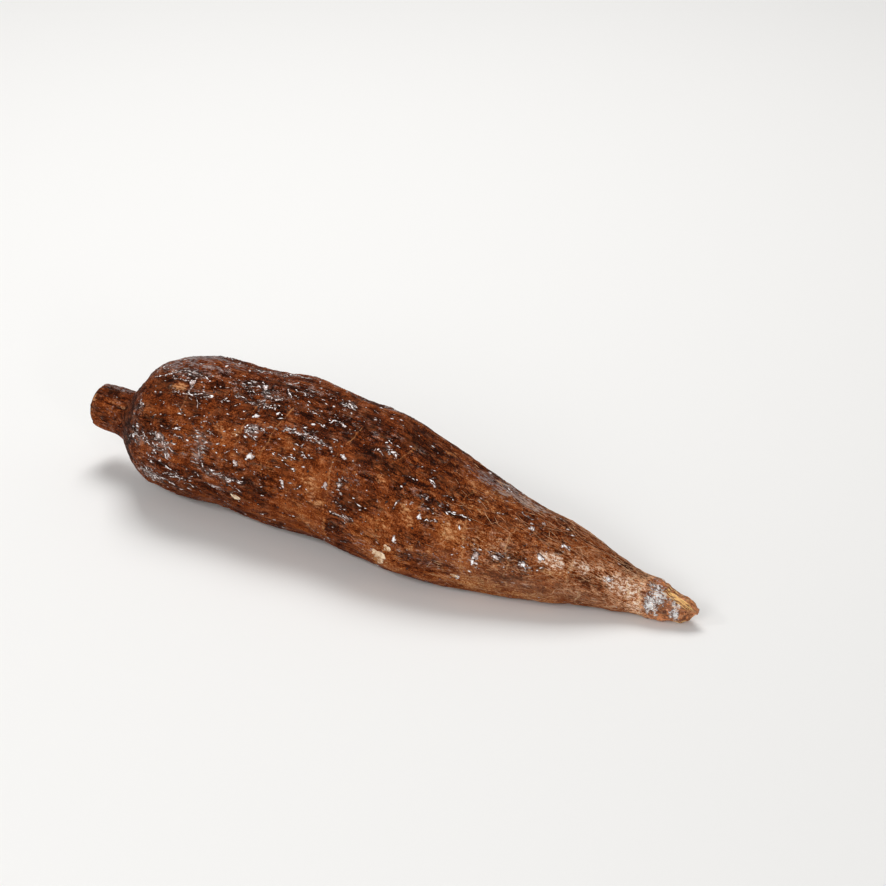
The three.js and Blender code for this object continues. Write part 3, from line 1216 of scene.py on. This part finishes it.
def swept(name, random, lanes, half_widths):
    """Low ridges that follow lanes on the skin, pinched off here and there, as one mesh."""
    points, faces, levels = [], [], []
    angles = np.linspace(0, 2 * pi, RUN_SIDES, False)
    for (at, degrees), half_width in zip(lanes, half_widths):
        first = len(points) * RUN_SIDES
        place, out = skin_at(at, degrees)
        ahead = np.gradient(place, axis=0)
        side = np.cross(out, ahead)
        side /= np.linalg.norm(side, axis=-1, keepdims=True)
        count = len(at)
        gone = np.arange(count) * RUN_STEP / mm
        swell = np.full(count, 0.62)
        for wave, size in RUN_SWELLS:
            swell += size * np.sin(wave * gone + random.uniform(0, 2 * pi))
        ends = np.minimum(np.arange(count), np.arange(count)[::-1]) / 2
        swell = np.clip(swell, 0.05, 1.5) * np.minimum(ends * 0.8 + 0.15, 1)
        for k in range(count):
            width = half_width * (0.3 + 0.65 * swell[k])
            tall = half_width * RUN_HEIGHT * (1.4 * swell[k] - 0.4)
            ring_points = (
                place[k]
                + width * np.cos(angles)[:, None] * side[k]
                + (tall * np.sin(angles) - RUN_SINKING * half_width)[:, None] * out[k]
            )
            points.append(ring_points)
            levels.append(np.clip(np.sin(angles), 0, 1) * np.clip(swell[k], 0, 1))
        faces += tube_faces(first, count, RUN_SIDES)
    piece = new_piece(name, np.concatenate(points), faces)
    thickness = piece.data.attributes.new("thickness", "FLOAT", "POINT")
    thickness.data.foreach_set("value", np.concatenate(levels))
    return piece


# Runs of wax: half width in mm, then share of the length and angle of each point on the way.
WAX_RUNS = [
    (0.8, (0.15, 117), (0.165, 116), (0.178, 112), (0.19, 117), (0.205, 118), (0.216, 117)),
    (0.6, (0.147, 101), (0.155, 106), (0.163, 109), (0.17, 107)),
    (0.8, (0.194, 107), (0.205, 109), (0.215, 108), (0.225, 111)),
    (0.5, (0.2, 128), (0.208, 130), (0.216, 129), (0.228, 129), (0.24, 126), (0.258, 124)),
    (1.1, (0.223, 113), (0.226, 119), (0.224, 127)),
    (0.5, (0.237, 128), (0.243, 133), (0.246, 138)),
    (1.2, (0.203, 166), (0.207, 170), (0.212, 174), (0.217, 178), (0.221, 182)),
    (0.8, (0.206, 176), (0.211, 179), (0.214, 183)),
    (0.7, (0.197, 158), (0.206, 159), (0.213, 158)),
    (0.7, (0.219, 160), (0.224, 157), (0.23, 157)),
    (0.7, (0.163, 164), (0.17, 169), (0.178, 172), (0.183, 175)),
    (0.6, (0.143, 171), (0.15, 170), (0.157, 173)),
    (0.8, (0.2, 190), (0.21, 191), (0.216, 193), (0.226, 195)),
    (0.8, (0.213, 199), (0.221, 198), (0.23, 200), (0.236, 200)),
    (0.7, (0.177, 183), (0.18, 187), (0.184, 191)),
    (0.7, (0.158, 196), (0.165, 201), (0.171, 207)),
    (0.7, (0.17, 205), (0.176, 211), (0.183, 216)),
    (0.7, (0.196, 206), (0.203, 210), (0.212, 214), (0.22, 216)),
    (0.7, (0.237, 204), (0.242, 207), (0.246, 211)),
    (0.8, (0.262, 165), (0.266, 171), (0.27, 176), (0.273, 182)),
    (0.7, (0.254, 191), (0.26, 189), (0.264, 192)),
    (0.6, (0.144, 141), (0.15, 145), (0.157, 148)),
    (0.5, (0.262, 147), (0.268, 145), (0.276, 146)),
    (0.6, (0.246, 160), (0.26, 159), (0.268, 156)),
    (1, (0.315, 97), (0.321, 100), (0.328, 104), (0.333, 109), (0.345, 112), (0.36, 113), (0.368, 111)),
    (0.8, (0.296, 102), (0.304, 103)),
    (0.8, (0.297, 108), (0.305, 107)),
    (0.6, (0.334, 118), (0.345, 120), (0.356, 122), (0.365, 120)),
    (0.6, (0.292, 119), (0.304, 118), (0.315, 119)),
    (0.5, (0.275, 127), (0.283, 125), (0.292, 124)),
    (0.5, (0.376, 128), (0.388, 127)),
    (0.6, (0.395, 134), (0.41, 134), (0.416, 136), (0.423, 134)),
    (0.6, (0.428, 135), (0.445, 134), (0.46, 136)),
    (0.6, (0.47, 134), (0.479, 137)),
    (0.6, (0.337, 143), (0.345, 140), (0.353, 141)),
    (0.5, (0.34, 146), (0.35, 147)),
    (0.7, (0.36, 97), (0.366, 103), (0.372, 106)),
    (0.5, (0.375, 98), (0.385, 97), (0.392, 100)),
    (0.8, (0.454, 117), (0.456, 113), (0.464, 112), (0.472, 112), (0.48, 115)),
    (0.7, (0.444, 93), (0.452, 94), (0.459, 92)),
    (0.4, (0.395, 155), (0.405, 156), (0.413, 154), (0.425, 154)),
    (0.5, (0.422, 149), (0.43, 147), (0.44, 150), (0.452, 148)),
    (0.4, (0.43, 121), (0.44, 120), (0.45, 122)),
    (0.6, (0.29, 183), (0.3, 184), (0.315, 184), (0.33, 185), (0.345, 184)),
    (0.7, (0.275, 197), (0.286, 198), (0.298, 196)),
    (0.5, (0.505, 160), (0.513, 157)),
    (0.6, (0.515, 184), (0.525, 182), (0.532, 184)),
    (0.5, (0.426, 177), (0.434, 175), (0.441, 172)),
    (0.6, (0.551, 110), (0.56, 112), (0.572, 111)),
    (0.5, (0.538, 124), (0.548, 123), (0.561, 125)),
    (0.6, (0.555, 118), (0.563, 119)),
    (0.5, (0.597, 131), (0.607, 129), (0.613, 130)),
    (0.5, (0.625, 140), (0.635, 139), (0.641, 141)),
    (0.5, (0.632, 121), (0.638, 118)),
    (0.5, (0.665, 143), (0.68, 141), (0.696, 139)),
    (0.5, (0.682, 131), (0.689, 134)),
    (0.7, (0.602, 151), (0.598, 156), (0.595, 161)),
    (0.5, (0.64, 160), (0.645, 157), (0.65, 158), (0.655, 155)),
    (0.6, (0.737, 168), (0.744, 170), (0.75, 168)),
    (0.6, (0.775, 167), (0.78, 169), (0.785, 177)),
    (0.5, (0.768, 107), (0.774, 105)),
    (0.5, (0.816, 137), (0.821, 135)),
    (0.9, (0.936, 96), (0.943, 108), (0.947, 118), (0.949, 127)),
    (0.9, (0.953, 134), (0.953, 147), (0.95, 162)),
    (0.9, (0.949, 160), (0.946, 174), (0.942, 188)),
    (0.5, (0.934, 165), (0.937, 180), (0.936, 195)),
    (0.6, (0.964, 106), (0.971, 126)),
    (0.9, (0.97, 165), (0.972, 182), (0.97, 200)),
    (0.8, (0.941, 128), (0.938, 142), (0.94, 156)),
    (0.7, (0.932, 150), (0.938, 158), (0.946, 156)),
    (0.8, (0.935, 166), (0.943, 162), (0.951, 166)),
    (0.8, (0.936, 184), (0.945, 180), (0.953, 183)),
    (0.7, (0.956, 140), (0.958, 158), (0.954, 176)),
    (0.6, (0.93, 110), (0.937, 122), (0.944, 124)),
]

RUN_SLIMNESS = 0.56  # brings the half widths in the list down to those of the wax
LAST_RUN_SHARE = 0.985

random = np.random.default_rng(WAX_SEED)
lanes = [spaced(random, path, RUN_STEP, 0.35 * mm) for _, *path in WAX_RUNS]
run_widths = [RUN_SLIMNESS * half_width * mm for half_width, *_ in WAX_RUNS]

# Wax gathers on the tops of the folds in the waxed zones, a little of it stands anywhere, and
# there is none on the side that the root rests on.
clear = rising(skin[body_rows, :, 2], 2 * mm, 4 * mm)
fold_tops = rising(folds[body_rows], 0.1, 0.9)
weights = waxed_zones[body_rows] ** 2 * fold_tops * reach[body_rows] * clear
anywhere = reach[body_rows] * rising(share[body_rows], 0.13, 0.15) * clear
anywhere *= 1 - 0.75 * rising(share[body_rows], 0.35, 0.6)
for at, degrees in zip(*sown(random, (weights + 0.03 * anywhere).ravel(), RANDOM_RUNS)):
    run_length = random.uniform(1.4, 6) * mm
    heading = random.normal(0, 0.3)
    end_at, end_degrees = stepped(at, degrees, cos(heading) * run_length, sin(heading) * run_length)
    run_ends = [(at, degrees), (min(end_at, LAST_RUN_SHARE), end_degrees)]
    lanes.append(spaced(random, run_ends, RUN_STEP, 0.4 * mm))
    run_widths.append(random.uniform(0.16, 0.36) * mm)
wax_runs = swept("wax_runs", random, lanes, run_widths)

bead_at, bead_degrees, bead_length, bead_width = [], [], [], []
for at, degrees, half_length, half_width, *_ in WAX_DROPS + more_drops:
    for number in range(random.integers(5, 8)):
        off = random.uniform(-1, 1, 2) * (1.1 if number > 1 else 0.5 * number)
        place = stepped(at, degrees, off[0] * half_length * mm, off[1] * half_width * mm)
        bead_at.append(place[0])
        bead_degrees.append(place[1])
        if number < 2:
            bead_width.append(random.uniform(0.75, 1) * half_width / (1 + 0.7 * number))
            bead_length.append(random.uniform(0.75, 1) * half_length / (1 + 0.7 * number))
        else:
            bead_width.append(random.uniform(0.25, 0.5))
            bead_length.append(bead_width[-1] * random.uniform(1, 2))
bead_weights = (weights + 0.07 * anywhere).ravel()
bead_weights *= 1 - 0.7 * on_tail[body_rows].ravel()
loose_at, loose_degrees = sown(random, bead_weights, RANDOM_BEADS)
lane_at, lane_degrees = (np.concatenate(part) for part in zip(*lanes))
chosen = random.choice(len(lane_at), CHAIN_BEADS, False)
forward = random.normal(0, 1.2, CHAIN_BEADS) * mm
aside = random.normal(0, 0.9, CHAIN_BEADS) * mm
chain_at, chain_degrees = stepped(lane_at[chosen], lane_degrees[chosen], forward, aside)
bead_at = np.concatenate([bead_at, loose_at, chain_at])
bead_degrees = np.concatenate([bead_degrees, loose_degrees, chain_degrees])
small = 0.14 + 0.34 * random.uniform(0, 1, RANDOM_BEADS + CHAIN_BEADS) ** 2
bead_width = np.concatenate([bead_width, small]) * mm
bead_length = np.concatenate([bead_length, small * random.uniform(1.1, 2.8, len(small))]) * mm
beads = domes(
    "wax_beads", random, bead_at, bead_degrees, bead_length, bead_width,
    np.minimum(bead_width, 0.7 * mm) * random.uniform(0.4, 0.7, len(bead_width)),
    random.normal(0, 0.35, len(bead_width)),
)

# The bark is painted darker close to the runs, as shade in the folds whose tops they stand on.
wax_points = np.concatenate([skin_at(at, degrees)[0] for at, degrees in lanes])
tree = KDTree(len(wax_points))
for number, point in enumerate(wax_points):
    tree.insert(point, number)
tree.balance()
gaps = np.array([tree.find(point)[2] for point in skin.reshape(-1, 3)]).reshape(share.shape)
keep("near_wax", np.exp(-((gaps / (2.2 * mm)) ** 2)))


def clouded(start, bumps_per_metre, detail):
    """Noise all through a finish, about 0 to 1."""
    place = start.node("ShaderNodeTexCoord", {}, {}, "Object")
    sockets = {"Vector": place, "Scale": bumps_per_metre, "Detail": detail}
    return start.node("ShaderNodeTexNoise", {}, sockets)


wax_finish, shader, start = new_material("wax_finish")
cloud = clouded(start, 900, 3)
tone = clouded(start, 230, 2)
thickness = start.node("ShaderNodeAttribute", {"attribute_name": "thickness"}, {}, "Fac")
milky_and_shade = thickness + (cloud - 0.5) * 1.4 + (tone - 0.5) * 2.4
# The foot of each piece is painted dark brown, as the shade at its edge; thicker wax goes grey and then
# white, the white also standing in for glints, as painted highlights.
wax_and_glint_colour = milky_and_shade.over(0.06, 0.35).mixed(colour(42, 22, 14), colour(124, 88, 72))
wax_and_glint_colour = milky_and_shade.over(0.3, 0.7).mixed(wax_and_glint_colour, colour(192, 170, 164))
wax_and_glint_colour = milky_and_shade.over(0.72, 1.15).mixed(wax_and_glint_colour, colour(252, 253, 255))
feed(shader, "Base Color", wax_and_glint_colour)
shader.inputs["Roughness"].default_value = 0.35
shader.inputs["Coat Weight"].default_value = 1
shader.inputs["Coat Roughness"].default_value = 0.12
emboss(shader, cloud, depth=0.3 * mm, strength=0.6)
for piece in (beads, wax_runs):
    piece.data.materials.append(wax_finish)
    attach(piece, "root")


# ---- The flesh ---------------------------------------------------------------------------------
# Crumbs of the pale starchy flesh, which stand out where a knock took the bark off. They are dry
# and floury, and still hold to the flesh under them.

CRUMBS_PER_MM = 9  # of a chip's half length
FLESH_SEED = 35

random = np.random.default_rng(FLESH_SEED)
crumb_at, crumb_degrees, crumb_size = [], [], []
for at, degrees, half_length, half_width in CHIPS:
    for _ in range(int(CRUMBS_PER_MM * half_length)):
        off = random.normal(0, 0.42, 2)
        place = stepped(at, degrees, off[0] * half_length * mm, off[1] * half_width * mm)
        crumb_at.append(place[0])
        crumb_degrees.append(place[1])
        crumb_size.append(random.uniform(0.4, 1.1) * mm)
crumb_size = np.array(crumb_size)
crumbs = domes(
    "flesh_crumbs", random, np.array(crumb_at), np.array(crumb_degrees),
    crumb_size * random.uniform(1, 1.8, len(crumb_size)), crumb_size,
    crumb_size * random.uniform(0.3, 0.6, len(crumb_size)),
    random.uniform(-0.9, 0.9, len(crumb_size)),
)

flesh_finish, shader, start = new_material("flesh_finish")
crumble = clouded(start, 700, 4)
stain = clouded(start, 180, 2)
stained = (stain + crumble * 0.5).over(0.55, 0.95)
feed(shader, "Base Color", stained.mixed(colour(166, 110, 64), colour(248, 226, 194)))
shader.inputs["Roughness"].default_value = 0.7
shader.inputs["Specular IOR Level"].default_value = 0.2
emboss(shader, crumble, depth=0.5 * mm, strength=0.8)
crumbs.data.materials.append(flesh_finish)
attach(crumbs, "root")


# ---- The soil ----------------------------------------------------------------------------------
# Fine grains of dark soil that stayed on the root when it was washed. Most of them are caught
# in the folds beside the wax, and a few are held in it.

SOIL_GRAINS = 400
SOIL_SEED = 36
# Grains at certain places: share of the length and angle.
SOIL_SPOTS = [(0.796, 149), (0.799, 153), (0.802, 150), (0.717, 176), (0.712, 179), (0.72, 172)]

random = np.random.default_rng(SOIL_SEED)
soil_weights = bead_weights + 0.01 * (reach[body_rows] * clear).ravel()
loose_at, loose_degrees = sown(random, soil_weights, SOIL_GRAINS)
soil_at = np.concatenate([[at for at, _ in SOIL_SPOTS], loose_at])
soil_degrees = np.concatenate([[degrees for _, degrees in SOIL_SPOTS], loose_degrees])
soil_size = random.uniform(0.15, 0.4, len(soil_at)) * mm
soil = domes(
    "soil_grains", random, soil_at + random.normal(0, 1, len(soil_at)) * mm / length, soil_degrees,
    soil_size * random.uniform(1, 1.8, len(soil_at)), soil_size, soil_size * 0.7,
    random.uniform(-1.5, 1.5, len(soil_at)),
)

soil_finish, shader, start = new_material("soil_finish")
grit = clouded(start, 300, 3)
feed(shader, "Base Color", grit.over(0.35, 0.7).mixed(colour(20, 12, 9), colour(62, 34, 22)))
shader.inputs["Roughness"].default_value = 0.8
soil.data.materials.append(soil_finish)
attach(soil, "root")


# ---- The fibres ------------------------------------------------------------------------------
# Fine dry fibres of the bark, thickest near the tail, where the skin is drawn out thin, and a
# few coarse straw ones, torn off with the thin end of the root.

HAIRS = 700
HAIR_SIDES = 3
HAIR_STEP = 1.2 * mm
HAIRY_SHARE = 0.36  # of the length, up to the tip, that the hairs grow on
HAIR_DEGREES = (-65, 240)  # the sides that the hairs are on: not the one that it rests on
FIBRE_SEED = 33
STRAW_SIDES = 7
STRAW_POINTS = 14


def strands(name, paths, radii, sides):
    """Thin tapering strands along paths of points, as one mesh."""
    points, faces = [], []
    for path, radius in zip(paths, radii):
        first = len(points)
        ahead = np.gradient(path, axis=0)
        ahead /= np.linalg.norm(ahead, axis=-1, keepdims=True)
        across = np.cross(ahead, (0.1, 0.2, 1))
        across /= np.linalg.norm(across, axis=-1, keepdims=True)
        over = np.cross(across, ahead)
        taper = np.sin(np.linspace(0.25, pi - 0.12, len(path))) ** 0.5 * radius
        for k in range(len(path)):
            for angle in np.linspace(0, 2 * pi, sides, False):
                offset = cos(angle) * across[k] + sin(angle) * over[k]
                points.append(path[k] + taper[k] * offset)
        faces += tube_faces(first, len(path), sides)
    return new_piece(name, np.array(points), faces)


random = np.random.default_rng(FIBRE_SEED)
paths, radii = [], []
for _ in range(HAIRS):
    at = 1 - HAIRY_SHARE * random.uniform(0.02, 1) ** 1.4
    degrees = random.uniform(*HAIR_DEGREES)
    heading = random.normal(0, 0.45)
    bend = random.normal(0, 0.05)
    steps = random.integers(4, 9)
    spots = []
    for _ in range(steps):
        at = min(at + cos(heading) * HAIR_STEP / length, 0.999)
        degrees += np.degrees(sin(heading) * HAIR_STEP / girth_at(at))
        heading += bend + random.normal(0, 0.08)
        spots.append((at, degrees))
    spots = np.array(spots)
    place, out = skin_at(spots[:, 0], spots[:, 1])
    lift = random.uniform(0.02, 0.1) * mm
    paths.append(place + lift * out)
    radii.append(random.uniform(0.07, 0.15) * mm)
hairs = strands("bark_hairs", paths, radii, HAIR_SIDES)

hair_finish, shader, start = new_material("hair_finish")
tone = clouded(start, 220, 3)
feed(shader, "Base Color", tone.over(0.35, 0.65).mixed(colour(140, 80, 44), colour(238, 184, 136)))
shader.inputs["Roughness"].default_value = 0.5
hairs.data.materials.append(hair_finish)
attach(hairs, "root")

# Straw fibres: share of the length and angle at each end, and radius in mm.
STRAWS = [
    ((0.953, 89), (0.99, 110), 0.22),
    ((0.952, 92), (0.993, 118), 0.32),
    ((0.955, 95), (0.995, 127), 0.22),
    ((0.953, 98), (0.995, 135), 0.32),
    ((0.956, 101), (0.993, 144), 0.24),
    ((0.962, 106), (0.99, 154), 0.2),
    ((0.948, 74), (0.984, 86), 0.15),
    ((0.951, 79), (0.987, 92), 0.17),
    ((0.949, 109), (0.972, 126), 0.15),
    ((0.96, 113), (0.986, 146), 0.17),
    ((0.96, 250), (0.995, 268), 0.3),
    ((0.955, 330), (0.99, 352), 0.3),
]
paths, radii = [], []
for (start_at, start_degrees), (end_at, end_degrees), radius in STRAWS:
    part = np.linspace(0, 1, STRAW_POINTS)
    place, out = skin_at(
        start_at + part * (end_at - start_at), start_degrees + part * (end_degrees - start_degrees)
    )
    arch = np.sin(part * pi)[:, None] * random.uniform(0.2, 0.6) * mm
    paths.append(place + (arch + 0.5 * radius * mm) * out)
    radii.append(radius * mm)
straws = strands("straw_fibres", paths, radii, STRAW_SIDES)

straw_finish, shader, start = new_material("straw_finish")
place = start.node("ShaderNodeTexCoord", {}, {}, "Object")
streak = start.node("ShaderNodeMapping", {}, {0: place, 3: (90, 1100, 1100)})  # drawn out
streak = start.node("ShaderNodeTexNoise", {}, {"Vector": streak, "Scale": 1, "Detail": 3})
feed(shader, "Base Color", streak.over(0.36, 0.54).mixed(colour(140, 76, 34), colour(248, 202, 130)))
shader.inputs["Roughness"].default_value = 0.45
emboss(shader, streak, depth=0.2 * mm, strength=0.5)
straws.data.materials.append(straw_finish)
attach(straws, "root")


# ---- The floor -----------------------------------------------------------------------------
# A plain white table top, wide enough to fill every view. It lies a hair below the root, so
# that the two don't flicker through each other where the belly rests.

FLOOR_SIDE = 12
FLOOR_DROP = 0.2 * mm

bpy.ops.mesh.primitive_plane_add(size=FLOOR_SIDE, location=(0, 0, -FLOOR_DROP))
floor = bpy.context.object
floor.name = "floor"
floor_finish, shader, _ = new_material("floor_finish")
shader.inputs["Base Color"].default_value = colour(238, 237, 235)
shader.inputs["Roughness"].default_value = 0.8
shader.inputs["Specular IOR Level"].default_value = 0.1
floor.data.materials.append(floor_finish)


# ---- The light -----------------------------------------------------------------------------
# Soft lamps as in a studio: a wide one above, a wide one in front, and small ones that put
# glints on the wax, in a white room.

ROOM_LIGHT = 0.3  # how strongly the room itself lights the root


def lamp(name, place, size, watts):
    """A square lamp that faces the root."""
    data = bpy.data.lights.new(name, "AREA")
    data.size = size
    data.energy = watts
    made = bpy.data.objects.new(name, data)
    made.location = place
    made.rotation_euler = Vector(place).to_track_quat("Z", "Y").to_euler()
    bpy.context.scene.collection.objects.link(made)


lamp("top_lamp", (-0.5, 0.6, 1.5), size=0.9, watts=18)
lamp("front_lamp", (0.3, -1.7, 1.0), size=0.9, watts=14)
lamp("left_glint_lamp", (-0.9, -1.2, 1.1), size=0.2, watts=4)
lamp("right_glint_lamp", (1.3, -1.1, 0.6), size=0.2, watts=3)

world = bpy.data.worlds.new("room")
bpy.context.scene.world = world
world.use_nodes = True
backdrop = world.node_tree.nodes["Background"]
seen = Wire(world.node_tree.nodes.new("ShaderNodeLightPath").outputs["Is Camera Ray"])
strength = seen * (1 - ROOM_LIGHT) + ROOM_LIGHT
world.node_tree.links.new(strength.socket, backdrop.inputs["Strength"])
backdrop.inputs["Color"].default_value = (1, 1, 1, 1)


# ---- The camera ----------------------------------------------------------------------------
# It looks down on the root from in front of its tail end, and a little past it, so that the
# root lies below the middle of the view.

AZIMUTH = 31.8
ELEVATION = 25.7
DISTANCE = 1.8645
LENS = 138.35  # millimetres, on a sensor 36 mm wide
AIM_OFFSET = Vector((9.3 * mm, 53.6 * mm, 0))  # from the middle of the root

camera_data = bpy.data.cameras.new("camera")
camera_data.lens = LENS
camera_data.sensor_width = 36
camera = bpy.data.objects.new("camera", camera_data)
turn, tilt = radians(AZIMUTH), radians(ELEVATION)
back = Vector((sin(turn) * cos(tilt), -cos(turn) * cos(tilt), sin(tilt)))
camera.location = (low + high) / 2 + AIM_OFFSET + DISTANCE * back
camera.rotation_euler = (pi / 2 - tilt, 0, turn)
bpy.context.scene.collection.objects.link(camera)
bpy.context.scene.camera = camera
bpy.context.scene.view_settings.view_transform = "Standard"
